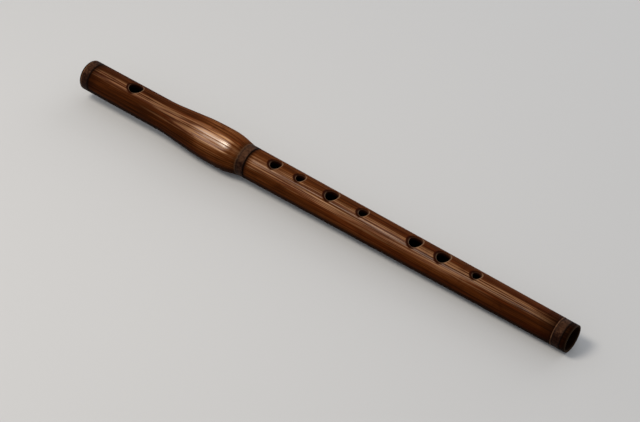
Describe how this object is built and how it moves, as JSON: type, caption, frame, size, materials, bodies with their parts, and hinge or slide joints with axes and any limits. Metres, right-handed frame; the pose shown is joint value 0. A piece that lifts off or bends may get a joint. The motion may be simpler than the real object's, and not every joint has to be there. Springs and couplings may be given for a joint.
{
  "type": "flute",
  "caption": "Keyless wooden side-blown flute with an oval blow hole, a barrel swell over its socket joint, dished finger holes, patinated bands and a head joint that turns and pulls off.",
  "frame": {"origin": "centre of the bounding box: on the bore axis, halfway between the crown of the head cap and the foot", "axes": "+X along the bore from the head to the foot, +Z out of the blow hole and finger holes"},
  "size_m": [0.6026, 0.0424, 0.0424],
  "materials": {
    "head_wood": "oiled and burnished, burnt darker beside the bands",
    "body_wood": "oiled and burnished, burnt darker beside the bands",
    "cap_wood": "oiled, dark",
    "band_metal": "brown patina with worn bright edges",
    "cork": "natural cork, greased",
    "lapping_thread": "waxed linen thread"
  },
  "bodies": {
    "body": {"body_joint": "body_wood", "foot_band": "band_metal"},
    "lapping": {"tenon_lapping": "lapping_thread"},
    "head": {"head_joint": "head_wood", "head_band": "band_metal", "socket_band": "band_metal"},
    "cap": {"head_cap": "cap_wood", "cap_lapping": "lapping_thread"},
    "stopper": {"stopper_cork": "cork"}
  },
  "joints": [
    {"name": "head_twist", "type": "hinge", "parent": "body", "child": "lapping", "pos_m": [-0.08625, 0, 0], "axis": [1, 0, 0], "continuous": true},
    {"name": "head_pull", "type": "slide", "parent": "lapping", "child": "head", "axis": [-1, 0, 0], "range_m": [0, 0.028]},
    {"name": "cap_pull", "type": "slide", "parent": "head", "child": "cap", "axis": [-1, 0, 0], "range_m": [0, 0.014]},
    {"name": "stopper_slide", "type": "slide", "parent": "head", "child": "stopper", "axis": [1, 0, 0], "range_m": [-0.008, 0.008]}
  ]
}
